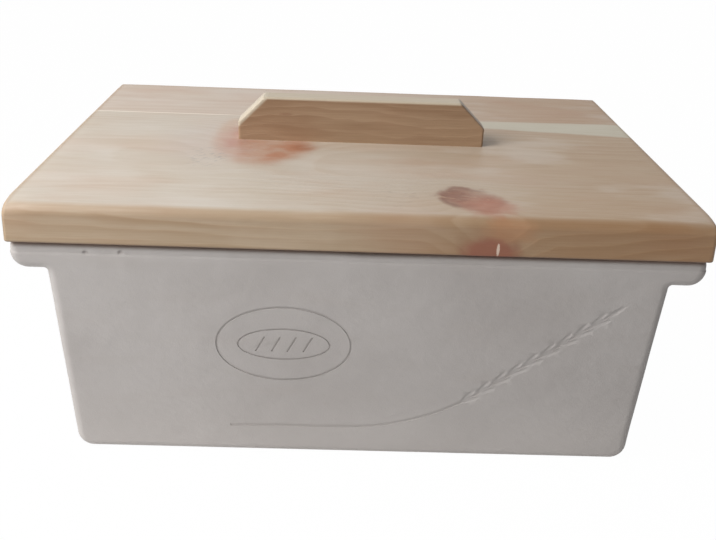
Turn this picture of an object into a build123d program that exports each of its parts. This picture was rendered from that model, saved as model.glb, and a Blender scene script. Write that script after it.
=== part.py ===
from build123d import *

import os
from math import atan2, cos, degrees, radians, sin, tan

# Bread crock: a rectangular earthenware tub with grips at rim level, and a pine lid that lifts off.
# Millimetres. +Z is up, +X runs along the length, and the front faces -Y.
# The origin is on the surface that the crock stands on, under the middle of the lid.

# Lid boards
lid_length = 382.0
front_board_width = 186.0
rear_board_width = 82.0
board_thickness = 22.0
lid_front_round = 6.0  # along the upper front edge
lid_end_round = 2.5  # at the ends, the rear and the upright corners
lid_under_round = 1.2

# Handle, a bar with its upper corners cut off
handle_length = 161.0
handle_height = 28.5
handle_thickness = 14.0
handle_corner_cut = 16.5
handle_edge_round = 1.6

# Crock body
end_overhang = 0.5  # how far the lid reaches past each grip
side_overhang = 1.5  # how far the lid reaches past the front and rear walls
crock_height = 138.0
grip_reach = 19.0
grip_thickness = 16.8
wall_thickness = 9.0
floor_thickness = 10.0
wall_draft = 2.0  # degrees
grip_round = 9.5
grip_blend = 1.5
base_round = 10.0
outline_round = 6.0
rim_round = 4.5
mouth_round = 3.0
inside_corner_round = 14.0
inside_floor_round = 12.0
foot_width = 16.0
foot_height = 2.5

# Marks pressed into the front wall
oval_length = 77.5
oval_height = 49.5
oval_groove = 1.3
oval_offset = -42.0  # from the middle of the front wall
oval_drop = 60.0  # from the rim to the middle of the oval
mark_depth = 0.5
loaf_length = 53.0
loaf_height = 21.0
loaf_groove = 1.0
score_length = 11.0
score_slant = 62.0  # degrees
score_pitch = 9.0
score_count = 4

# Wheat ear pressed into the front wall
stem_start = (-74.0, 20.5)
stem_bend = (39.0, 22.0)
stem_bend_radius = 125.0
stem_width = 1.8
stem_depth = 0.4
tip_inset = 28.0  # from the tip of the ear to the edge of the wall
tip_drop = 32.5  # from the rim to the tip of the ear
kernel_length = 11.5
kernel_width = 3.0
kernel_depth = 0.45
kernel_rise = 1.0  # how far the shape that presses a kernel or the stem stands out of the wall
kernel_pairs = 9
kernel_pitch = 11.0
kernel_spread = 3.2
kernel_slant = 14.0  # degrees

# Battens under the lid, inside the mouth of the crock
batten_width = 24.0
batten_thickness = 14.0
batten_play = 2.5  # clearance to the inside of the mouth
batten_edge_round = 1.5

# Wood screws
screw_radius = 2.0
screw_head_radius = 4.0
screw_point = 4.0
screw_clearance = 0.1
recess_width = 1.1
recess_length = 4.4
recess_depth = 1.5
handle_screw_length = 40.0
handle_screw_spacing = 100.0
batten_screw_length = 30.0
batten_screw_margin = 36.0  # from the end of a batten to its outer screws

# Worked out from the sizes above
lid_depth = front_board_width + rear_board_width
joint_y = front_board_width - lid_depth / 2
lid_under = crock_height
lid_top = crock_height + board_thickness
rim_length = lid_length - 2 * end_overhang
rim_depth = lid_depth - 2 * side_overhang
grip_under = crock_height - grip_thickness
lean = tan(radians(wall_draft))
wall_length = rim_length - 2 * grip_reach


def half_length(height):
    """Half the length of the tub outside, at a height above its base."""
    return wall_length / 2 - (grip_under - height) * lean


def half_depth(height):
    """Half the depth of the tub outside, at a height above its base."""
    return rim_depth / 2 - (crock_height - height) * lean


# The plane of the leaning front wall, with its origin at the base and its Y up the wall
front_wall = Plane(
    origin=(0, -half_depth(0), 0),
    x_dir=(1, 0, 0),
    z_dir=(0, -cos(radians(wall_draft)), -sin(radians(wall_draft))),
)


# Space inside the crock
with BuildPart() as bread_space:
    with BuildSketch(Plane.XZ):
        with BuildLine():
            Polyline(
                (-half_length(floor_thickness) + wall_thickness, floor_thickness),
                (half_length(floor_thickness) - wall_thickness, floor_thickness),
                (half_length(crock_height) - wall_thickness, crock_height),
                (-half_length(crock_height) + wall_thickness, crock_height),
                close=True,
            )
        make_face()
    extrude(amount=rim_depth / 2, both=True)
    with BuildSketch(Plane.YZ):
        with BuildLine():
            Polyline(
                (-half_depth(floor_thickness) + wall_thickness, floor_thickness),
                (half_depth(floor_thickness) - wall_thickness, floor_thickness),
                (half_depth(crock_height) - wall_thickness, crock_height),
                (-half_depth(crock_height) + wall_thickness, crock_height),
                close=True,
            )
        make_face()
    extrude(amount=rim_length / 2, both=True, mode=Mode.INTERSECT)
    upright_edges = bread_space.edges().filter_by(
        lambda edge: abs((edge % 0.5).Z) > cos(radians(2 * wall_draft))
    )
    fillet(upright_edges, inside_corner_round)
    fillet(bread_space.faces().sort_by(Axis.Z)[0].edges(), inside_floor_round)


# What presses one kernel of the wheat ear: a flat spheroid, lying along X in the plane Z = 0
kernel_radius = (kernel_width**2 / 4 + kernel_depth**2) / (2 * kernel_depth)
kernel_reach = kernel_radius * kernel_length / kernel_width
with BuildPart() as kernel:
    with BuildSketch(Plane.XY):
        with BuildLine():
            EllipticalCenterArc((0, 0), kernel_reach, kernel_radius, start_angle=0, arc_size=180)
            Line((-kernel_reach, 0), (kernel_reach, 0))
        make_face()
    revolve(axis=Axis.X)
    split(bisect_by=Plane.XY.offset(kernel_depth + kernel_rise - kernel_radius), keep=Keep.BOTTOM)
kernel.part.position += (0, 0, kernel_radius - kernel_depth)


# What presses the stem of the ear, lying in the plane Z = 0
ear_tip = (half_length(crock_height) - tip_inset, crock_height - tip_drop)
with BuildPart() as stem:
    with BuildSketch(Plane.XY.offset(-stem_depth)):
        with BuildLine():
            stem_line = FilletPolyline(stem_start, stem_bend, ear_tip, radius=stem_bend_radius)
        trace(line_width=stem_width)
    extrude(amount=stem_depth + kernel_rise)

# Places of the kernels: one at the tip of the stem, and pairs down both of its sides
stem_wire = Wire(stem_line.edges())
kernel_places = [Location((*ear_tip, 0), (0, 0, degrees(atan2((stem_wire % 1).Y, (stem_wire % 1).X))))]
for pair in range(1, kernel_pairs + 1):
    along = 1 - pair * kernel_pitch / stem_wire.length
    centre = stem_wire @ along
    heading = degrees(atan2((stem_wire % along).Y, (stem_wire % along).X))
    for side in (-1, 1):
        place = Location((centre.X, centre.Y, 0), (0, 0, heading))
        place *= Location((0, side * kernel_spread / 2, 0), (0, 0, side * kernel_slant))
        kernel_places.append(place)


# Crock body
with BuildPart() as crock_body:
    with BuildSketch(Plane.XZ):
        with BuildLine():
            FilletPolyline(
                (-half_length(0), 0),
                (half_length(0), 0),
                (half_length(grip_under), grip_under),
                (rim_length / 2, grip_under),
                (rim_length / 2, crock_height),
                (-rim_length / 2, crock_height),
                (-rim_length / 2, grip_under),
                (-half_length(grip_under), grip_under),
                radius=(base_round, base_round, grip_blend, grip_round, 0, 0, grip_round, grip_blend),
                close=True,
            )
        make_face()
    extrude(amount=rim_depth / 2, both=True)
    with BuildSketch(Plane.YZ):
        with BuildLine():
            Polyline(
                (-half_depth(0), 0),
                (half_depth(0), 0),
                (half_depth(crock_height), crock_height),
                (-half_depth(crock_height), crock_height),
                close=True,
            )
        make_face()
    extrude(amount=rim_length / 2, both=True, mode=Mode.INTERSECT)
    wall_faces = crock_body.faces().sort_by(Axis.Y)
    outline_edges = (wall_faces[0].edges() + wall_faces[-1].edges()).filter_by(
        lambda edge: (edge @ 0.5).Z < crock_height
    )
    fillet(outline_edges, outline_round)
    fillet(crock_body.faces().sort_by(Axis.Z)[-1].edges(), rim_round)
    add(bread_space.part, mode=Mode.SUBTRACT)
    rim_face = crock_body.faces().filter_by(Axis.Z).sort_by(Axis.Z)[-1]
    fillet(rim_face.inner_wires()[0].edges(), mouth_round)
    with BuildSketch(Plane.XY):
        RectangleRounded(
            2 * (half_length(0) - outline_round - foot_width),
            2 * (half_depth(0) - outline_round - foot_width),
            inside_corner_round,
        )
    extrude(amount=foot_height, mode=Mode.SUBTRACT)
    with BuildSketch(front_wall):
        with Locations((oval_offset, (crock_height - oval_drop) / cos(radians(wall_draft)))):
            Ellipse(oval_length / 2, oval_height / 2)
            Ellipse(oval_length / 2 - oval_groove, oval_height / 2 - oval_groove, mode=Mode.SUBTRACT)
            Ellipse(loaf_length / 2, loaf_height / 2)
            Ellipse(loaf_length / 2 - loaf_groove, loaf_height / 2 - loaf_groove, mode=Mode.SUBTRACT)
            with GridLocations(score_pitch, 0, score_count, 1):
                SlotOverall(score_length, loaf_groove, rotation=score_slant)
    extrude(amount=-mark_depth, mode=Mode.SUBTRACT)
    with Locations(front_wall):
        add(stem.part, mode=Mode.SUBTRACT)
    # One at a time: a single cut with all of them together left some kernels out
    for place in kernel_places:
        with Locations(front_wall * place):
            add(kernel.part, mode=Mode.SUBTRACT)
crock_body.part.label = "crock_body"


def screw(length):
    """A countersunk wood screw. Its head is at Z = 0, facing down, and it points up."""
    head_height = screw_head_radius - screw_radius
    with BuildPart() as one_screw:
        with BuildSketch(Plane.XZ):
            with BuildLine():
                Polyline(
                    (0, 0),
                    (screw_head_radius, 0),
                    (screw_radius, head_height),
                    (screw_radius, length - screw_point),
                    (0, length),
                    close=True,
                )
            make_face()
        revolve(axis=Axis.Z)
        with BuildSketch(Plane.XY):
            Rectangle(recess_length, recess_width)
            Rectangle(recess_width, recess_length)
        extrude(amount=recess_depth, mode=Mode.SUBTRACT)
    return one_screw.part


def facing_down(x, y, height):
    """A plane at a point, facing down, for a hole that is drilled up from there."""
    return Plane(origin=(x, y, height), x_dir=(1, 0, 0), z_dir=(0, 0, -1))


hole_radius = screw_radius + screw_clearance
head_hole_radius = screw_head_radius + screw_clearance

# Places of the handle screws and the battens
handle_screw_places = [(side * handle_screw_spacing / 2, 0) for side in (-1, 1)]
batten_x = half_length(crock_height) - wall_thickness - batten_play - batten_width / 2
batten_length = 2 * (half_depth(crock_height) - wall_thickness - batten_play)
batten_under = lid_under - batten_thickness
batten_screw_reach = batten_length / 2 - batten_screw_margin
batten_screw_rows = (-batten_screw_reach, 0, batten_screw_reach)
batten_screw_places = [(side * batten_x, row) for side in (-1, 1) for row in batten_screw_rows]
pilot_top = batten_under + batten_screw_length


# Both boards of the lid as one blank
with BuildPart() as lid_blank:
    with BuildSketch(Plane.XY.offset(lid_under)):
        Rectangle(lid_length, lid_depth)
    extrude(amount=board_thickness)
    fillet(lid_blank.edges().group_by(Axis.Z)[-1].sort_by(Axis.Y)[0], lid_front_round)
    end_faces = lid_blank.faces().sort_by(Axis.X)
    rear_top_edge = lid_blank.edges().group_by(Axis.Z)[-1].sort_by(Axis.Y)[-1]
    sharp_edges = end_faces[0].edges() + end_faces[-1].edges() + [rear_top_edge]
    fillet(sharp_edges - lid_blank.faces().sort_by(Axis.Z)[0].edges(), lid_end_round)
    fillet(lid_blank.faces().sort_by(Axis.Z)[0].edges(), lid_under_round)
    with Locations(*[facing_down(x, y, lid_under) for x, y in handle_screw_places]):
        CounterSinkHole(hole_radius, head_hole_radius, counter_sink_angle=90)
    with Locations(*[facing_down(x, y, lid_under) for x, y in batten_screw_places]):
        Hole(hole_radius, depth=pilot_top - lid_under)

glue_joint = Plane(origin=(0, joint_y, 0), x_dir=(1, 0, 0), z_dir=(0, 1, 0))

with BuildPart() as lid_front_board:
    add(lid_blank.part)
    split(bisect_by=glue_joint, keep=Keep.BOTTOM)
lid_front_board.part.label = "lid_front_board"

with BuildPart() as lid_rear_board:
    add(lid_blank.part)
    split(bisect_by=glue_joint, keep=Keep.TOP)
lid_rear_board.part.label = "lid_rear_board"


# Handle
handle_top = lid_top + handle_height
with BuildPart() as lid_handle:
    with BuildSketch(Plane.XZ):
        with BuildLine():
            Polyline(
                (-handle_length / 2, lid_top),
                (handle_length / 2, lid_top),
                (handle_length / 2, handle_top - handle_corner_cut),
                (handle_length / 2 - handle_corner_cut, handle_top),
                (-handle_length / 2 + handle_corner_cut, handle_top),
                (-handle_length / 2, handle_top - handle_corner_cut),
                close=True,
            )
        make_face()
    extrude(amount=handle_thickness / 2, both=True)
    foot_edges = lid_handle.faces().sort_by(Axis.Z)[0].edges()
    fillet(lid_handle.edges() - foot_edges, handle_edge_round)
    with Locations(*[facing_down(x, y, lid_top) for x, y in handle_screw_places]):
        Hole(hole_radius, depth=handle_screw_length - board_thickness)
lid_handle.part.label = "lid_handle"

with BuildPart() as handle_screws:
    with Locations(*[(x, y, lid_under) for x, y in handle_screw_places]):
        add(screw(handle_screw_length))
handle_screws.part.label = "handle_screws"


def batten(side):
    """The batten under one end of the lid. Side is -1 for the left and 1 for the right."""
    with BuildPart() as one_batten:
        with BuildSketch(Plane((side * batten_x, 0, batten_under))):
            RectangleRounded(batten_width, batten_length, inside_corner_round - batten_play)
        extrude(amount=batten_thickness)
        fillet(one_batten.faces().sort_by(Axis.Z)[0].edges(), batten_edge_round)
        with Locations(*[facing_down(side * batten_x, row, batten_under) for row in batten_screw_rows]):
            CounterSinkHole(hole_radius, head_hole_radius, counter_sink_angle=90)
    return one_batten.part


batten_left = batten(-1)
batten_left.label = "batten_left"
batten_right = batten(1)
batten_right.label = "batten_right"

with BuildPart() as batten_screws:
    with Locations(*[(x, y, batten_under) for x, y in batten_screw_places]):
        add(screw(batten_screw_length))
batten_screws.part.label = "batten_screws"


os.makedirs("parts", exist_ok=True)
export_step(crock_body.part, "parts/crock_body.step")
export_step(lid_front_board.part, "parts/lid_front_board.step")
export_step(lid_rear_board.part, "parts/lid_rear_board.step")
export_step(lid_handle.part, "parts/lid_handle.step")
export_step(handle_screws.part, "parts/handle_screws.step")
export_step(batten_left, "parts/batten_left.step")
export_step(batten_right, "parts/batten_right.step")
export_step(batten_screws.part, "parts/batten_screws.step")
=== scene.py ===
"""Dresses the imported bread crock: pine lid, earthenware body, screws, light and camera.

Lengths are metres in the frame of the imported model. Shader patterns are worked out in millimetres.
"""
import math

import bmesh
import bpy
from mathutils import Matrix, Vector, noise


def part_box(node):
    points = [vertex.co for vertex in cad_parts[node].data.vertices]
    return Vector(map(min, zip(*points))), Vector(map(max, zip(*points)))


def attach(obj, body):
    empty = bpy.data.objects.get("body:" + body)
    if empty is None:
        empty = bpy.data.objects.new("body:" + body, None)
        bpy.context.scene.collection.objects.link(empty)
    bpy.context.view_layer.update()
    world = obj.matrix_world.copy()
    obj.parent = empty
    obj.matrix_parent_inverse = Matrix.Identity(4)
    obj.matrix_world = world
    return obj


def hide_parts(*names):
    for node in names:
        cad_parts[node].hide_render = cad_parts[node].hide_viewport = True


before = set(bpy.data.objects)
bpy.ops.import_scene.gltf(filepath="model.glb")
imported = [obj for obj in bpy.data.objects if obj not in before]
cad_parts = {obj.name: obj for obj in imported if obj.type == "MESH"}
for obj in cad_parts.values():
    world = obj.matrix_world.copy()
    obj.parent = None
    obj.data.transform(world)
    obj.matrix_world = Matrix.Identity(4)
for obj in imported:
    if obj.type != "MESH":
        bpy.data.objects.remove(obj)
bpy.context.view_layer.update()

MM = 0.001
PHOTO_WIDTH = 716

# Faces of the lid, the crock and the handle in millimetres, for the shaders
LID_END, LID_SIDE, LID_TOP = (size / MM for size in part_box("lid_rear_board")[1])
RIM_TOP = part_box("crock_body")[1][2] / MM
HANDLE_END, _, HANDLE_TOP = (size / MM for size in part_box("lid_handle")[1])

# z - x on the handle's left bevel and z + x on its right one, in millimetres
HANDLE_CORNER_CUT = 16.5
HANDLE_BEVEL = HANDLE_TOP + HANDLE_END - HANDLE_CORNER_CUT

# The crock's hand work: a wiped band under the rim and two pits in it, at their x and z in millimetres
BAND_LOW = 130.9 * MM
BAND_STEP = 1.3 * MM
BAND_DEPTH = 0.45 * MM
RIM_INSET = 14.0 * MM
RIM_PITS = ((-148.6, 132.6), (-129.8, 133.2))

# Which of the possible hand-worked surfaces the clay has
CLAY_SEED = 5

# How far the sanding takes off each board's top corners, and how far along the board it reaches
FRONT_SANDING = 0.9 * MM
REAR_SANDING = 0.1 * MM
CORNER_REACH = 15.0 * MM


class Value:
    """A number carried by a node link. Arithmetic on it adds Math nodes to its shader."""

    def __init__(self, shader, socket):
        self.shader = shader
        self.socket = socket

    def __add__(self, other):
        return self.shader.math("ADD", self, other)

    def __sub__(self, other):
        return self.shader.math("SUBTRACT", self, other)

    def __rsub__(self, other):
        return self.shader.math("SUBTRACT", other, self)

    def __mul__(self, other):
        return self.shader.math("MULTIPLY", self, other)

    def __truediv__(self, other):
        return self.shader.math("DIVIDE", self, other)

    def __rtruediv__(self, other):
        return self.shader.math("DIVIDE", other, self)

    def __pow__(self, other):
        return self.shader.math("POWER", self, other)

    def __neg__(self):
        return self.shader.math("MULTIPLY", self, -1.0)

    __radd__ = __add__
    __rmul__ = __mul__


class Shader:
    """A material and the short calls that build its nodes."""

    def __init__(self, name):
        self.material = bpy.data.materials.new(name)
        self.material.use_nodes = True
        self.tree = self.material.node_tree
        self.tree.nodes.clear()

    @classmethod
    def of_tree(cls, tree):
        """The same calls for a tree that is there already, such as the world's."""
        shader = cls.__new__(cls)
        shader.tree = tree
        tree.nodes.clear()
        return shader

    def node(self, kind, settings=None, inputs=None):
        """Adds a node: its settings first, then the value or link of each named socket."""
        made = self.tree.nodes.new(kind)
        for key, setting in (settings or {}).items():
            setattr(made, key, setting)
        for key, value in (inputs or {}).items():
            socket = made.inputs[key]
            if isinstance(value, Value):
                self.tree.links.new(value.socket, socket)
            elif isinstance(value, bpy.types.NodeSocket):
                self.tree.links.new(value, socket)
            elif socket.type == "RGBA" and len(value) == 3:
                socket.default_value = (*value, 1.0)
            else:
                socket.default_value = value
        return made

    def math(self, operation, *terms):
        made = self.node("ShaderNodeMath", {"operation": operation}, dict(enumerate(terms)))
        return Value(self, made.outputs[0])

    def place(self):
        """The point on the piece in millimetres, as three values."""
        coordinates = self.node("ShaderNodeTexCoord").outputs["Object"]
        apart = self.node("ShaderNodeSeparateXYZ", inputs={"Vector": coordinates})
        return [Value(self, apart.outputs[axis]) * (1 / MM) for axis in "XYZ"]

    def point(self, x, y, z):
        return self.node("ShaderNodeCombineXYZ", inputs={"X": x, "Y": y, "Z": z}).outputs[0]

    def noise(self, x, y, z, detail=2.0, roughness=0.5):
        """Noise from 0 to 1, one bump for each unit of x, y and z."""
        made = self.node(
            "ShaderNodeTexNoise",
            inputs={"Vector": self.point(x, y, z), "Scale": 1.0, "Detail": detail, "Roughness": roughness},
        )
        return Value(self, made.outputs["Fac"])

    def rise(self, value, low, high):
        """0 below low, 1 above high and a smooth step between."""
        settings = {"interpolation_type": "SMOOTHSTEP"}
        made = self.node("ShaderNodeMapRange", settings, {"Value": value, "From Min": low, "From Max": high})
        return Value(self, made.outputs["Result"])

    def blend(self, factor, below, above, mode="MIX"):
        """Two colours mixed by a factor from 0 to 1."""
        made = self.node(
            "ShaderNodeMix",
            {"data_type": "RGBA", "blend_type": mode},
            {0: factor, 6: below, 7: above},
        )
        return made.outputs[2]

    def bump(self, height, depth):
        """A normal from a height of 0 to 1 that stands for a depth in metres."""
        made = self.node("ShaderNodeBump", inputs={"Height": height, "Distance": depth, "Strength": 1.0})
        return made.outputs["Normal"]

    def surface(self, **inputs):
        """The finished surface. Underscores in the names stand for spaces."""
        named = {key.replace("_", " "): value for key, value in inputs.items()}
        made = self.node("ShaderNodeBsdfPrincipled", inputs=named)
        self.node("ShaderNodeOutputMaterial", inputs={"Surface": made.outputs[0]})
        return self.material


# Pine

def knot_distance(shader, place, knot):
    """Distance in millimetres from the axis of a branch that runs through the board."""
    start, through = Vector(knot["start"]), Vector(knot["through"])
    axis = (through - start).normalized()
    offset = [place[i] - start[i] for i in range(3)]
    along = offset[0] * axis[0] + offset[1] * axis[1] + offset[2] * axis[2]
    across = [offset[i] - along * axis[i] for i in range(3)]
    squeezed = across[0] / knot["stretch"]
    return (squeezed * squeezed + across[1] * across[1] + across[2] * across[2]) ** 0.5


def patch(shader, place, centre, radii, ragged=0.5, soft=0.35):
    """1 inside an uneven blob, 0 outside it. Centre and radii are in millimetres."""
    x, y, z = place
    away = [(place[i] - centre[i]) / radii[i] for i in range(3)]
    distance = (away[0] * away[0] + away[1] * away[1] + away[2] * away[2]) ** 0.5
    scale = 1.6 / radii[0]
    uneven = shader.noise(x * scale, y * scale, z * scale, detail=4.0) - 0.5
    return 1 - shader.rise(distance + uneven * ragged * 2.0, 1.0 - soft, 1.0 + soft)


def sapwood_strip(shader, place, colour):
    """Pale sapwood along the glued joint, at the right of the lid."""
    x, y, z = place
    ripple = shader.noise(x * 0.03, y * 0.05, z * 0.05) - 0.5
    streak = shader.noise(x * 0.02, y * 0.9, z * 0.9, detail=3.0)
    near = 37.5 - (x - 88.0) * 0.11 + ripple * 5.0
    far = 56.0 + (x - 88.0) * 0.02 + ripple * 2.0
    pale = shader.rise(y - near, -2.0, 2.0) * (1 - shader.rise(y - far, -1.2, 1.2))
    pale = pale * shader.rise(x + ripple * 40.0, 45.0, 80.0)
    return shader.blend(pale * (streak * 0.35 + 0.5), colour, (0.56, 0.54, 0.44))


def glue_line(shader, place, colour):
    """The thin bright line of the glued joint, which shows at the left."""
    x, y, z = place
    line = shader.rise(y, 49.6, 50.6) * (1 - shader.rise(x, -110.0, -70.0))
    return shader.blend(line * 0.6, colour, (0.86, 0.79, 0.69))


def clouds(shader, place, colour):
    """Soft pale and pinkish clouds in the planed wood, longer along the grain than across it."""
    x, y, z = place
    pale = shader.noise(x * 0.013 + 4.0, y * 0.03, z * 0.03, detail=4.0)
    pink = shader.noise(x * 0.016 - 9.0, y * 0.05, z * 0.05, detail=4.0)
    colour = shader.blend(shader.rise(pale, 0.48, 0.68) * 0.30, colour, (0.62, 0.57, 0.51))
    return shader.blend(shader.rise(pink, 0.48, 0.68) * 0.45, colour, (0.93, 0.85, 0.80), mode="MULTIPLY")


def knot_rim(shader, place, colour):
    """The reddish wood that the round knot's left side grades into."""
    rim = patch(shader, place, (-88.0, 2.0, LID_TOP), (9.0, 34.0, 14.0), ragged=0.4, soft=0.5)
    return shader.blend(rim * 0.7, colour, (0.93, 0.71, 0.56), mode="MULTIPLY")


def drying_checks(shader, place, colour):
    """Short grey checks and a lilac tinge in the wood beside the round knot."""
    x, y, z = place
    tinge = patch(shader, place, (-100.0, -14.0, LID_TOP), (26.0, 40.0, 16.0), soft=0.6)
    around = patch(shader, place, (-94.0, -42.0, LID_TOP), (13.0, 20.0, 12.0))
    lines = shader.noise(x * 0.16 + y * 0.12, y * 0.42 - x * 0.34, z * 0.3, detail=2.0)
    colour = shader.blend(tinge * 0.25, colour, (0.50, 0.45, 0.45))
    return shader.blend(around * shader.rise(lines, 0.54, 0.66) * 0.5, colour, (0.26, 0.24, 0.235))


def broken_bark(shader, place, colour):
    """Torn light fibres and dark bark in the knot near the front edge, and pale checks beside it."""
    x, y, z = place
    within = patch(shader, place, (57.0, -103.0, LID_TOP), (17.0, 17.0, 12.0), ragged=0.4)
    fibres = shader.noise(x * 0.10 - y * 0.05, y * 0.30 + x * 0.10, z * 0.3, detail=3.0)
    bark = patch(shader, place, (51.0, -100.0, LID_TOP), (9.0, 8.0, 10.0), ragged=0.7)
    blush = patch(shader, place, (70.0, -116.0, LID_TOP), (13.0, 13.0, 14.0), ragged=0.5, soft=0.6)
    colour = shader.blend(blush * 0.75, colour, (0.36, 0.14, 0.08))
    colour = shader.blend(bark * 0.6, colour, (0.18, 0.070, 0.040))
    colour = shader.blend(within * shader.rise(fibres, 0.56, 0.66) * 0.34, colour, (0.54, 0.36, 0.24))
    beside = patch(shader, place, (24.0, -104.0, LID_TOP), (15.0, 20.0, 12.0))
    checks = shader.noise(x * 0.14 + y * 0.10, y * 0.30 - x * 0.10, z * 0.3, detail=2.0)
    return shader.blend(beside * shader.rise(checks, 0.56, 0.68) * 0.3, colour, (0.30, 0.22, 0.17))


def painted_edge_shade(shader, place, colour):
    """The lid's sawn edges and the wood just above the rim are painted darker and golden as painted shade,
    standing in for the sheen on the planed top, and a dark line of painted shadow runs along their bottom.
    """
    x, y, z = place
    side = shader.math("MAXIMUM", *(shader.rise(out, LID_SIDE - 6.4, LID_SIDE - 1.6) for out in (-y, y)))
    end = shader.math("MAXIMUM", *(shader.rise(out, LID_END - 5.4, LID_END - 1.0) for out in (-x, x)))
    under = 1 - shader.rise(z, RIM_TOP + 0.6, RIM_TOP + 2.4)
    edge = shader.math("MAXIMUM", shader.math("MAXIMUM", side, end), under)
    # Painted shade: the sides, the ends and the wood above the rim darkened and made golden
    colour = shader.blend(edge, colour, (0.745, 0.635, 0.51), mode="MULTIPLY")
    # Painted shadow: a dark line along the bottom of the sides and ends, over the gap above the crock
    painted_gap_shadow = (1 - shader.rise(z, RIM_TOP + 0.3, RIM_TOP + 1.7)) * shader.math("MAXIMUM", side, end)
    return shader.blend(painted_gap_shadow * 0.6, colour, (0.14, 0.085, 0.055))


def handle_painted_light(shader, place, colour):
    """The handle's top and its left bevel are painted pale as painted highlight, and the right bevel is
    painted dark as painted shade.
    """
    x, y, z = place
    band = shader.noise(x * 0.011 - z * 0.03, y * 0.01, z * 0.055 + x * 0.004, detail=3.0)
    colour = shader.blend(shader.rise(band, 0.42, 0.62) * 0.5, colour, (0.225, 0.125, 0.065))
    # Painted highlight on the top and the left bevel, painted shade on the right bevel
    top = shader.rise(z, HANDLE_TOP - 1.9, HANDLE_TOP - 0.5)
    left = shader.rise(z - x, HANDLE_BEVEL - 5.0, HANDLE_BEVEL - 2.4)
    right = shader.rise(z + x, HANDLE_BEVEL - 1.4, HANDLE_BEVEL - 0.2)
    pale = shader.math("MAXIMUM", top * 0.85, left)
    colour = shader.blend(pale * 0.8, colour, (0.56, 0.50, 0.39))
    return shader.blend(right * 0.55, colour, (0.16, 0.11, 0.07))


def red_heart(shader, place, colour):
    """The branch's red heart, where the front edge cuts it, and its bead of resin."""
    heart = patch(shader, place, (69.0, -134.0, 140.5), (14.0, 9.0, 8.0), ragged=0.35)
    glow = patch(shader, place, (78.0, -134.0, 153.5), (13.0, 8.0, 6.5), ragged=0.6, soft=0.6)
    bead = patch(shader, place, (73.0, -134.0, 142.2), (0.8, 6.0, 3.4), ragged=0.5, soft=0.25)
    colour = shader.blend(glow * 0.45, colour, (0.40, 0.18, 0.08))
    colour = shader.blend(heart * 0.82, colour, (0.235, 0.075, 0.042))
    return shader.blend(bead * 0.75, colour, (0.72, 0.58, 0.47))


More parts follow.
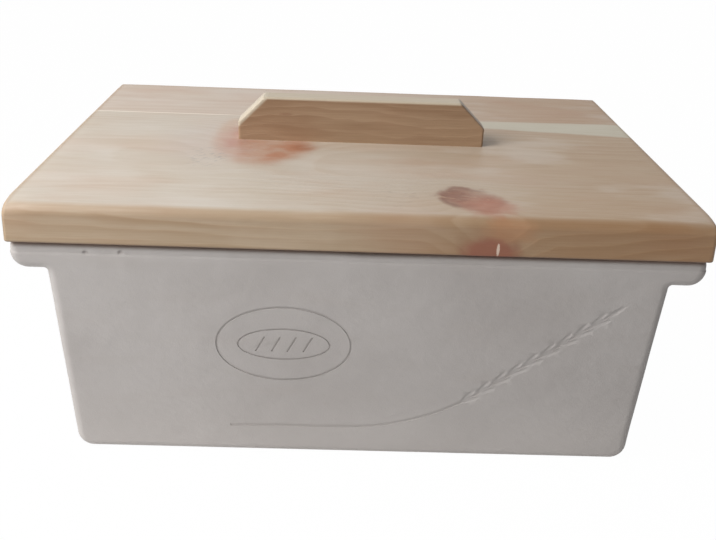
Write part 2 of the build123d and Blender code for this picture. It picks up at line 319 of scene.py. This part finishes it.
def pine(name, pith, spacing, early, late, knots=(), tan_and_shade=0.0, marks=(), wave=0.004, figure=1.0, smooth_top=0.0,
         seed=0.0):
    """Planed pine with its growth rings, fibres and knots worked out inside the wood.

    pith is the (y, z) of the middle of the trunk, which runs along X, in millimetres. smooth_top is for the
    lid's boards: it weakens the rings on their planed top, and lays soft clouds in the wood.
    """
    shader = Shader(name)
    x, y, z = place = shader.place()
    wander = shader.noise(x * wave + seed, y * 0.012, z * 0.012, detail=3.0) - 0.5
    ripple = shader.noise(x * 0.03 + seed, y * 0.05, z * 0.05, detail=2.0) - 0.5
    from_pith = ((y - pith[0]) ** 2.0 + (z - pith[1]) ** 2.0) ** 0.5
    depth = from_pith + wander * 24.0 + ripple * 1.6
    stained = []
    outlined = []
    for knot in knots:
        size = knot["radius"]
        uneven = shader.noise(x * 0.07 + seed, y * 0.07, z * 0.07, detail=3.0) - 0.5
        away = knot_distance(shader, place, knot) + uneven * size * knot["ragged"]
        depth = depth + (1 - shader.rise(away, 0.0, size * 2.2)) * knot["push"]
        inside = 1 - shader.rise(away, size * knot["hollow"], size * 1.2)
        pale_heart = 1 - (1 - shader.rise(away, 0.0, size * 0.8)) * knot["pale"]
        on_top = 1 - shader.rise(-y, LID_SIDE - 7.0, LID_SIDE - 1.0) * knot["top_only"]
        stained.append((inside * pale_heart * on_top * knot["red"], knot["stain"]))
        line = shader.rise(away, size * 0.6, size * 0.85) * (1 - shader.rise(away, size * 0.85, size * 1.1))
        broken = shader.noise(x * 0.05 + seed, y * 0.05, z * 0.05 + seed, detail=1.0)
        outlined.append(line * on_top * shader.rise(broken, 0.42, 0.6) * knot["dark"])
    turn = shader.math("FRACT", depth / spacing)
    latewood = shader.rise(turn, 0.05, 0.8) * (1 - shader.rise(turn, 0.84, 1.0))
    strength = shader.rise(shader.noise(x * 0.006 + seed, y * 0.035, z * 0.035), 0.3, 0.7) * 0.9 + 0.1
    strength = strength * (1 - shader.rise(z, LID_TOP - 1.4, LID_TOP - 0.2) * smooth_top)
    fibre = shader.noise(x * 0.03, y * 1.1, z * 1.1, detail=4.0, roughness=0.6)
    pores = shader.noise(x * 0.12, y * 4.5, z * 4.5, detail=2.0)
    blotch = shader.noise(x * 0.014 + seed, y * 0.024, z * 0.024, detail=3.0)
    blush = shader.noise(x * 0.011, y * 0.02 + seed, z * 0.02, detail=2.0)
    colour = shader.blend(latewood * strength * figure, early, late)
    colour = shader.blend(shader.rise(fibre, 0.3, 0.75) * 0.3, colour, late)
    colour = shader.blend(shader.rise(blotch, 0.4, 0.75) * 0.3, colour, (0.90, 0.82, 0.70), mode="MULTIPLY")
    colour = shader.blend(shader.rise(blush, 0.45, 0.7) * 0.5, colour, (1.0, 0.90, 0.86), mode="MULTIPLY")
    if tan_and_shade:
        # Partly the wood's own tan and partly painted shade: the boards darken to the right, where the light
        # falls off
        shade = shader.rise(x + wander * 160.0, -40.0, 150.0) * tan_and_shade
        colour = shader.blend(shade, colour, (0.755, 0.615, 0.475), mode="MULTIPLY")
    if smooth_top:
        colour = clouds(shader, place, colour)
    for (amount, stain), line in zip(stained, outlined):
        mottle = shader.noise(x * 0.05 + y * 0.03, y * 0.08 - x * 0.02, z * 0.08, detail=5.0)
        colour = shader.blend(amount * (shader.rise(mottle, 0.3, 0.66) * 0.45 + 0.55), colour, stain)
        colour = shader.blend(line, colour, (0.17, 0.075, 0.045))
    for mark in marks:
        colour = mark(shader, place, colour)
    colour = shader.blend(shader.rise(pores, 0.62, 0.85) * 0.12, colour, (0.30, 0.18, 0.10))
    height = latewood * 0.4 + fibre * 0.45 + pores * 0.15
    rough = fibre * 0.16 + 0.40
    return shader.surface(
        Base_Color=colour, Roughness=rough, Normal=shader.bump(height, 0.00018), Specular_IOR_Level=0.5
    )


ROUND_KNOT = {
    "start": (-62.0, -10.0, LID_TOP), "through": (-64.0, -16.0, RIM_TOP), "radius": 45.0, "stretch": 0.70,
    "push": 9.0, "hollow": 0.64, "pale": 0.3, "ragged": 0.2, "red": 1.0, "top_only": 0.0, "dark": 0.0,
    "stain": (0.40, 0.178, 0.102),
}
KNOT_SHADE = {
    "start": (-36.0, -20.0, LID_TOP), "through": (-38.0, -24.0, RIM_TOP), "radius": 9.0, "stretch": 1.2,
    "push": 0.0, "hollow": 0.2, "pale": 0.0, "ragged": 0.5, "red": 0.75, "top_only": 0.0, "dark": 0.0,
    "stain": (0.31, 0.12, 0.06),
}
FRONT_KNOT = {
    "start": (60.0, -105.0, LID_TOP), "through": (67.0, -136.0, 143.0), "radius": 10.0, "stretch": 1.8,
    "push": 7.0, "hollow": 0.5, "pale": 0.0, "ragged": 0.7, "red": 1.0, "top_only": 0.8, "dark": 0.7,
    "stain": (0.235, 0.082, 0.045),
}
HANDLE_FLECK = {
    "start": (-49.0, -14.0, 177.6), "through": (-49.0, 14.0, 177.6), "radius": 1.3, "stretch": 4.0,
    "push": 1.0, "hollow": 0.2, "pale": 0.0, "ragged": 0.9, "red": 0.5, "top_only": 0.0, "dark": 0.0,
    "stain": (0.17, 0.06, 0.03),
}


def earthenware():
    """Unglazed pale clay: faint clouds, wiped streaks, fine grit, painted shade in its pits, painted shadow on
    the front rim under the lid and painted light near its foot.
    """
    shader = Shader("pale_clay")
    x, y, z = place = shader.place()
    cloud = shader.noise(x * 0.012, y * 0.012, z * 0.016, detail=4.0)
    wipe = shader.noise(x * 0.012, y * 0.03, z * 0.08, detail=3.0)
    grit = shader.noise(x * 1.6, y * 1.6, z * 1.6, detail=3.0, roughness=0.6)
    fleck = shader.noise(x * 0.9, y * 0.9, z * 0.9, detail=1.0)
    dimple = shader.noise(x * 0.09, y * 0.09, z * 0.12, detail=4.0)
    colour = shader.blend(shader.rise(cloud, 0.3, 0.7), (0.390, 0.360, 0.343), (0.434, 0.405, 0.388))
    colour = shader.blend(shader.rise(wipe, 0.5, 0.8) * 0.4, colour, (0.40, 0.363, 0.340))
    colour = shader.blend(shader.rise(fleck, 0.72, 0.82) * 0.2, colour, (0.28, 0.25, 0.23))
    for along, height in RIM_PITS:
        # Painted shade: the clay darkened inside the two pits
        pit = patch(shader, place, (along, -132.9, height), (1.7, 4.0, 1.3), ragged=0.3)
        colour = shader.blend(pit * 0.3, colour, (0.20, 0.17, 0.155))
    # Painted shadow: the top of the front wall, in the gap under the lid, darkened to brown
    painted_rim_shadow = shader.rise(z, RIM_TOP - 3.6, RIM_TOP - 0.8) * (1 - shader.rise(y, -120.0, -112.0))
    colour = shader.blend(painted_rim_shadow * 0.85, colour, (0.18, 0.105, 0.075))
    # Painted light: the wall lightened towards its foot, for light thrown back by the floor
    painted_bounce_light = (1 - shader.rise(z, 2.0, 60.0)) * 0.5
    colour = shader.blend(painted_bounce_light, colour, (0.50, 0.465, 0.44))
    height = grit * 0.18 + dimple * 0.82
    return shader.surface(
        Base_Color=colour, Roughness=grit * 0.1 + 0.62,
        Normal=shader.bump(height, 0.0006), Specular_IOR_Level=0.4,
    )


def zinc():
    """Bright zinc plate with fine scratches, for the screws."""
    shader = Shader("zinc_plate")
    x, y, z = shader.place()
    scratch = shader.noise(x * 6.0, y * 0.8, z * 6.0, detail=3.0)
    colour = shader.blend(scratch, (0.52, 0.51, 0.48), (0.70, 0.69, 0.66))
    return shader.surface(Base_Color=colour, Roughness=scratch * 0.2 + 0.28, Metallic=1.0)


LID_EARLY = (0.545, 0.485, 0.415)
LID_LATE = (0.415, 0.320, 0.220)
front_pine = pine(
    "front_board_pine", (-45.0, 70.0), 3.6, LID_EARLY, LID_LATE,
    knots=(ROUND_KNOT, KNOT_SHADE, FRONT_KNOT), tan_and_shade=1.0, figure=0.75, smooth_top=0.6,
    marks=(sapwood_strip, glue_line, knot_rim, drying_checks, broken_bark, painted_edge_shade, red_heart),
)
rear_pine = pine(
    "rear_board_pine", (130.0, 60.0), 4.6, (0.550, 0.465, 0.390), (0.430, 0.300, 0.215),
    tan_and_shade=1.0, marks=(sapwood_strip, painted_edge_shade), figure=0.75, smooth_top=0.5, seed=7.3,
)
handle_pine = pine(
    "handle_pine", (60.0, 120.0), 3.6, (0.365, 0.243, 0.150), (0.225, 0.128, 0.066),
    knots=(HANDLE_FLECK,), marks=(handle_painted_light,), wave=0.009, figure=0.5, seed=3.1,
)
batten_pine = pine("batten_pine", (40.0, 60.0), 3.6, (0.56, 0.44, 0.31), (0.42, 0.28, 0.17), seed=11.0)
clay = earthenware()
steel = zinc()


def dress(node, material):
    """Gives a CAD node its material."""
    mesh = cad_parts[node].data
    mesh.materials.clear()
    mesh.materials.append(material)


dress("lid_handle", handle_pine)
dress("batten_left", batten_pine)
dress("batten_right", batten_pine)


# Crock, worked by hand

def smooth_step(value, low, high):
    share = min(max((value - low) / (high - low), 0.0), 1.0)
    return share * share * (3.0 - 2.0 * share)


def cut_across(mesh, axis, places):
    """Cuts the mesh along planes square to an axis, so that its flat faces can be worked."""
    normal = Vector([float(i == axis) for i in range(3)])
    for place in places:
        every = mesh.verts[:] + mesh.edges[:] + mesh.faces[:]
        bmesh.ops.bisect_plane(mesh, geom=every, dist=1e-6, plane_co=normal * place, plane_no=normal)


def refine_near(mesh, centre, reach, times):
    """Splits the faces around a point until a small dent can show in them."""
    for _ in range(times):
        near = [edge for edge in mesh.edges if (edge.verts[0].co - centre).length < reach
                or (edge.verts[1].co - centre).length < reach]
        bmesh.ops.subdivide_edges(mesh, edges=near, cuts=1)
        bmesh.ops.triangulate(mesh, faces=[face for face in mesh.faces if len(face.verts) > 3])


def loose_copy(node):
    """A bmesh of a CAD node, with its triangles joined."""
    mesh = bmesh.new()
    mesh.from_mesh(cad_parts[node].data)
    bmesh.ops.remove_doubles(mesh, verts=mesh.verts[:], dist=1e-6)
    return mesh


def finished_piece(name, mesh, material, body, node):
    """Turns a bmesh into a piece that rides on a body and stands for a CAD node."""
    bmesh.ops.triangulate(mesh, faces=[face for face in mesh.faces if len(face.verts) > 3])
    made = bpy.data.meshes.new(name)
    mesh.to_mesh(made)
    mesh.free()
    if "custom_normal" in made.attributes:
        made.attributes.remove(made.attributes["custom_normal"])
    made.shade_smooth()
    made.set_sharp_from_angle(angle=math.radians(38.0))
    made.materials.append(material)
    piece = new_piece(name, made)
    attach(piece, body)
    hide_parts(node)
    return piece


def hand_pressed(place):
    """How far working the clay by hand has moved a point of it, in metres."""
    broad = noise.noise_vector(place * 13.0)
    palm = noise.noise_vector(place * 36.0 + Vector((5.0, 0.0, 0.0)))
    finger = noise.noise_vector(place * 90.0)
    return MM * (broad * 0.42 + palm * 0.16 + finger * 0.05)


def away_from_middle(place, half_length, half_depth):
    """From an inner rectangle straight out to a point. It is zero inside that rectangle."""
    x = math.copysign(max(abs(place.x) - half_length + RIM_INSET, 0.0), place.x)
    y = math.copysign(max(abs(place.y) - half_depth + RIM_INSET, 0.0), place.y)
    return Vector((x, y, 0.0))


def worked_crock():
    """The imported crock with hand-worked walls, a wiped band under its rim and a rim that dips in front."""
    mesh = loose_copy("crock_body")
    low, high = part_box("crock_body")
    step = 5.0 * MM
    for axis in range(3):
        count = int((high[axis] - low[axis]) / step)
        cut_across(mesh, axis, [low[axis] + step * (i + 0.5) for i in range(count)])
    cut_across(mesh, 2, [BAND_LOW + BAND_STEP * share for share in (0.0, 0.3, 0.7, 1.0)])
    front = low[1]
    pits = [Vector((along * MM, front, height * MM)) for along, height in RIM_PITS]
    for pit in pits:
        refine_near(mesh, pit, 3.0 * MM, 3)
    rim = high[2]
    for vertex in mesh.verts:
        place = vertex.co.copy()
        worked = smooth_step(place.z, 0.003, 0.014) * smooth_step(rim - place.z, 0.0, 0.006)
        vertex.co += hand_pressed(place) * worked
        outward = away_from_middle(place, high[0], high[1])
        if outward.length > 0.0:
            outer = smooth_step(outward.length, RIM_INSET - 6.0 * MM, RIM_INSET - 2.0 * MM)
            band = smooth_step(place.z, BAND_LOW, BAND_LOW + BAND_STEP)
            vertex.co -= outward.normalized() * BAND_DEPTH * band * outer
        if place.y < front + 4.0 * MM:
            for pit in pits:
                vertex.co.y += 0.7 * MM * (1.0 - smooth_step((place - pit).length, 0.3 * MM, 1.6 * MM))
            in_middle = 1.0 - smooth_step(abs(place.x - 0.008), 0.004, 0.034)
            ends = 1.0 - smooth_step(abs(place.x), 0.10, 0.16)
            dip = (0.35 + 1.1 * in_middle) * ends * smooth_step(place.z, rim - 0.012, rim)
            vertex.co.z -= dip * MM
    finished_piece("worked_crock", mesh, clay, "crock", "crock_body")


def sanded_board(name, node, material, corner_cut):
    """A lid board with its top corners sanded off and its edges a little uneven."""
    mesh = loose_copy(node)
    lid_low, lid_high = (Vector(corner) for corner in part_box("lid_front_board"))
    lid_high.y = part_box("lid_rear_board")[1][1]
    near_end = [CORNER_REACH * share for share in (0.06, 0.14, 0.24, 0.36, 0.5, 0.66, 0.84, 1.05, 1.3)]
    cut_across(mesh, 0, [lid_low.x + gap for gap in near_end] + [lid_high.x - gap for gap in near_end])
    cut_across(mesh, 1, [lid_low.y + gap for gap in near_end] + [lid_high.y - gap for gap in near_end])
    cut_across(mesh, 0, [-0.15 + 0.01 * step for step in range(31)])
    for vertex in mesh.verts:
        place = vertex.co.copy()
        side = Vector((math.copysign(1.0, place.x), math.copysign(1.0, place.y), 1.0))
        corner = Vector((lid_high.x * side.x, lid_high.y * side.y, lid_high.z))
        apart = place - corner
        apart.z *= 1.7
        share = math.exp(-(apart.length / CORNER_REACH) ** 2 * 2.0)
        vertex.co -= side * corner_cut * share
        edge = smooth_step(abs(place.x), lid_high.x - 0.012, lid_high.x)
        edge = max(edge, smooth_step(abs(place.y), lid_high.y - 0.012, lid_high.y))
        edge *= smooth_step(place.z, lid_low.z, lid_low.z + 0.004)
        vertex.co -= side * edge * 0.35 * MM * (0.5 + 0.5 * noise.noise(place * 22.0))
    finished_piece(name, mesh, material, "lid", node)


def new_piece(name, mesh):
    piece = bpy.data.objects.new(name, mesh)
    bpy.context.scene.collection.objects.link(piece)
    return piece


# Without a seed, noise_vector gives other values each time Blender is started
noise.seed_set(CLAY_SEED)
worked_crock()
sanded_board("sanded_front_board", "lid_front_board", front_pine, FRONT_SANDING)
sanded_board("sanded_rear_board", "lid_rear_board", rear_pine, REAR_SANDING)


# Screws

class Tree:
    """A Geometry Nodes tree with named inputs, and the short calls that build it."""

    def __init__(self, name):
        self.tree = bpy.data.node_groups.new(name, "GeometryNodeTree")
        self.tree.interface.new_socket("Geometry", in_out="INPUT", socket_type="NodeSocketGeometry")
        self.tree.interface.new_socket("Geometry", in_out="OUTPUT", socket_type="NodeSocketGeometry")
        self.source = self.tree.nodes.new("NodeGroupInput")
        self.result = self.tree.nodes.new("NodeGroupOutput")

    def size(self, name, value):
        """A named input for a length in metres. Gives the socket that carries it."""
        made = self.tree.interface.new_socket(name, in_out="INPUT", socket_type="NodeSocketFloat")
        made.default_value = value
        return self.source.outputs[name]

    def node(self, kind, settings=None, inputs=None, output=0):
        """Adds a node and gives one of its outputs."""
        made = self.tree.nodes.new(kind)
        for key, setting in (settings or {}).items():
            setattr(made, key, setting)
        for key, value in (inputs or {}).items():
            for one in value if isinstance(value, list) else [value]:
                if isinstance(one, bpy.types.NodeSocket):
                    self.tree.links.new(one, made.inputs[key])
                else:
                    made.inputs[key].default_value = one
        return made.outputs[output]

    def math(self, operation, first, second):
        return self.node("ShaderNodeMath", {"operation": operation}, {0: first, 1: second})

    def point(self, x=0.0, y=0.0, z=0.0):
        return self.node("ShaderNodeCombineXYZ", inputs={"X": x, "Y": y, "Z": z})

    def moved(self, geometry, **transform):
        named = {key.title(): value for key, value in transform.items()}
        return self.node("GeometryNodeTransform", inputs={"Geometry": geometry, **named})

    def finish(self, geometry):
        self.tree.links.new(geometry, self.result.inputs["Geometry"])
        return self.tree


def screw_tree():
    """A countersunk wood screw on each point, its head's face on the point and its tip above."""
    tree = Tree("wood_screws")
    head = tree.size("Head Radius", 4.0 * MM)
    shank = tree.size("Shank Radius", 2.0 * MM)
    length = tree.size("Length", 30.0 * MM)
    pitch = tree.size("Thread Pitch", 1.8 * MM)
    core = tree.math("MULTIPLY", shank, 0.72)
    head_depth = tree.math("MULTIPLY", head, 0.62)
    cone = tree.node(
        "GeometryNodeMeshCone", {"fill_type": "NGON"},
        {"Vertices": 40, "Radius Top": core, "Radius Bottom": head, "Depth": head_depth},
    )
    slot_long = tree.math("MULTIPLY", head, 1.12)
    slot_wide = tree.math("MULTIPLY", head, 0.26)
    slot_deep = tree.math("MULTIPLY", head, 0.7)
    arms = []
    for size in ((slot_long, slot_wide), (slot_wide, slot_long)):
        block = tree.node("GeometryNodeMeshCube", inputs={"Size": tree.point(*size, slot_deep)})
        arms.append(block)
    cross = tree.node("GeometryNodeMeshBoolean", {"operation": "UNION"}, {1: arms})
    cut = tree.node("GeometryNodeMeshBoolean", {"operation": "DIFFERENCE"}, {0: cone, 1: cross})
    shank_length = tree.math("SUBTRACT", length, head_depth)
    rod = tree.node(
        "GeometryNodeMeshCylinder", {"fill_type": "NGON"},
        {"Vertices": 24, "Radius": core, "Depth": tree.math("MULTIPLY", shank_length, 0.86)},
    )
    rod = tree.moved(rod, translation=tree.point(z=tree.math(
        "ADD", tree.math("MULTIPLY", shank_length, 0.43), tree.math("MULTIPLY", head_depth, 0.95))))
    tip_depth = tree.math("MULTIPLY", shank_length, 0.14)
    tip = tree.node(
        "GeometryNodeMeshCone", {"fill_type": "NGON"},
        {"Vertices": 24, "Radius Top": 0.0001, "Radius Bottom": core, "Depth": tip_depth},
    )
    tip = tree.moved(tip, translation=tree.point(z=tree.math("SUBTRACT", length, tip_depth)))
    thread_length = tree.math("MULTIPLY", shank_length, 0.80)
    turns = tree.math("DIVIDE", thread_length, pitch)
    helix = tree.node("GeometryNodeCurveSpiral", inputs={
        "Resolution": 20, "Rotations": turns, "Height": thread_length,
        "Start Radius": tree.math("MULTIPLY", shank, 0.78), "End Radius": tree.math("MULTIPLY", shank, 0.74),
    })
    edge = tree.node("GeometryNodeCurvePrimitiveCircle", {"mode": "RADIUS"}, {
        "Resolution": 4, "Radius": tree.math("MULTIPLY", shank, 0.2),
    })
    thread = tree.node(
        "GeometryNodeCurveToMesh", inputs={"Curve": helix, "Profile Curve": edge, "Fill Caps": True},
    )
    thread = tree.moved(thread, translation=tree.point(z=tree.math("MULTIPLY", shank_length, 0.16)))
    screw = tree.node("GeometryNodeJoinGeometry", inputs={0: [cut, rod, tip, thread]})
    twist = tree.node(
        "FunctionNodeRandomValue", {"data_type": "FLOAT_VECTOR"},
        {"Min": (0.0, 0.0, 0.0), "Max": (0.0, 0.0, 1.5), "Seed": 4},
    )
    placed = tree.node("GeometryNodeInstanceOnPoints", inputs={
        "Points": tree.source.outputs["Geometry"], "Instance": screw, "Rotation": twist,
    })
    real = tree.node("GeometryNodeRealizeInstances", inputs={"Geometry": placed})
    return tree.finish(tree.node("GeometryNodeSetMaterial", inputs={"Geometry": real, "Material": steel}))


def screws(name, node, tree, columns, rows, head_radius=4.0 * MM):
    """Screws in the place of a CAD node's: as many columns along X and rows along Y."""
    low, high = (Vector(corner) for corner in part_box(node))
    span = high - low - Vector((2.0 * head_radius, 2.0 * head_radius, 0.0))
    places = []
    for column in range(columns):
        for row in range(rows):
            across = column / max(columns - 1, 1)
            along = row / max(rows - 1, 1)
            places.append(low + Vector((head_radius + span.x * across, head_radius + span.y * along, 0.0)))
    points = bpy.data.meshes.new(name)
    points.from_pydata(places, [], [])
    piece = new_piece(name, points)
    modifier = piece.modifiers.new("screws", "NODES")
    modifier.node_group = tree
    for socket in tree.interface.items_tree:
        if socket.name == "Length":
            modifier[socket.identifier] = span.z
    graph = bpy.context.evaluated_depsgraph_get()
    made = bpy.data.meshes.new_from_object(piece.evaluated_get(graph))
    piece.modifiers.clear()
    piece.data = made
    made.name = name
    made.shade_smooth()
    made.set_sharp_from_angle(angle=math.radians(30.0))
    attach(piece, "lid")
    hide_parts(node)


wood_screws = screw_tree()
screws("handle_wood_screws", "handle_screws", wood_screws, columns=2, rows=1)
screws("batten_wood_screws", "batten_screws", wood_screws, columns=2, rows=3)


# Floor, light and camera

def seen_directly(shader):
    """1 for the camera and for reflections, 0 for the light that the floor and sky give."""
    path = shader.node("ShaderNodeLightPath")
    names = ("Is Camera Ray", "Is Glossy Ray", "Is Transmission Ray")
    rays = [Value(shader, path.outputs[name]) for name in names]
    return shader.math("MAXIMUM", shader.math("MAXIMUM", rays[0], rays[1]), rays[2])


def floor_material():
    """White to the camera, with the object's shadow left on it."""
    shader = Shader("studio_floor")
    matte = shader.node("ShaderNodeBsdfDiffuse", inputs={"Color": (0.80, 0.80, 0.80)})
    white = shader.node("ShaderNodeEmission", inputs={"Color": (1.0, 1.0, 1.0), "Strength": 1.0})
    mixed = shader.node(
        "ShaderNodeMixShader",
        inputs={0: seen_directly(shader) * 0.99, 1: matte.outputs[0], 2: white.outputs[0]},
    )
    shader.node("ShaderNodeOutputMaterial", inputs={"Surface": mixed.outputs[0]})
    return shader.material


def make_floor(half_size=4.0):
    mesh = bpy.data.meshes.new("floor")
    corners = [(x * half_size, y * half_size, 0) for x, y in ((-1, -1), (1, -1), (1, 1), (-1, 1))]
    mesh.from_pydata(corners, [], [(0, 1, 2, 3)])
    mesh.materials.append(floor_material())
    floor = bpy.data.objects.new("floor", mesh)
    bpy.context.scene.collection.objects.link(floor)


def make_world(strength=0.29, one_sided=0.95):
    """A white sky that lights the object plainly, more from the left, and shows white."""
    world = bpy.data.worlds.new("studio")
    world.use_nodes = True
    sky = Shader.of_tree(world.node_tree)
    direction = sky.node("ShaderNodeTexCoord").outputs["Generated"]
    along = Value(sky, sky.node("ShaderNodeSeparateXYZ", inputs={"Vector": direction}).outputs["X"])
    given = (1 - along * one_sided) * strength
    seen = seen_directly(sky)
    level = seen + (1 - seen) * given
    glow = sky.node("ShaderNodeBackground", inputs={"Color": (1.0, 1.0, 1.0), "Strength": level})
    sky.node("ShaderNodeOutputWorld", inputs={"Surface": glow.outputs[0]})
    bpy.context.scene.world = world


def area_light(name, place, aim, size, watts, colour=(1.0, 1.0, 1.0)):
    data = bpy.data.lights.new(name, "AREA")
    data.size = size
    data.energy = watts
    data.color = colour
    lamp = bpy.data.objects.new(name, data)
    bpy.context.scene.collection.objects.link(lamp)
    lamp.location = place
    lamp.rotation_euler = (Vector(aim) - Vector(place)).to_track_quat("-Z", "Y").to_euler()


def make_camera():
    """The photograph's view: its place, its turn and its lens."""
    yaw, pitch, roll = (math.radians(angle) for angle in (1.389, 25.47, 2.297))
    place = Vector((-0.011838, -0.553806, 0.327962))
    focal_pixels = 859.4
    forward = Vector((math.sin(yaw) * math.cos(pitch), math.cos(yaw) * math.cos(pitch), -math.sin(pitch)))
    level = Vector((math.cos(yaw), -math.sin(yaw), 0.0))
    upward = level.cross(forward)
    right = level * math.cos(roll) + upward * math.sin(roll)
    up = upward * math.cos(roll) - level * math.sin(roll)
    data = bpy.data.cameras.new("camera")
    data.sensor_width = 36.0
    data.lens = focal_pixels / PHOTO_WIDTH * data.sensor_width
    data.clip_start = 0.01
    camera = bpy.data.objects.new("camera", data)
    camera.matrix_world = Matrix.Translation(place) @ Matrix((right, up, -forward)).transposed().to_4x4()
    bpy.context.scene.collection.objects.link(camera)
    bpy.context.scene.camera = camera


make_floor()
make_world()
area_light("key", (-0.76, -0.40, 0.80), (-0.08, 0.0, 0.08), 0.55, 12.0)
area_light("fill", (-0.8, -1.2, 0.6), (-0.05, 0.0, 0.08), 1.0, 2.6)
make_camera()
bpy.context.scene.view_settings.view_transform = "Standard"
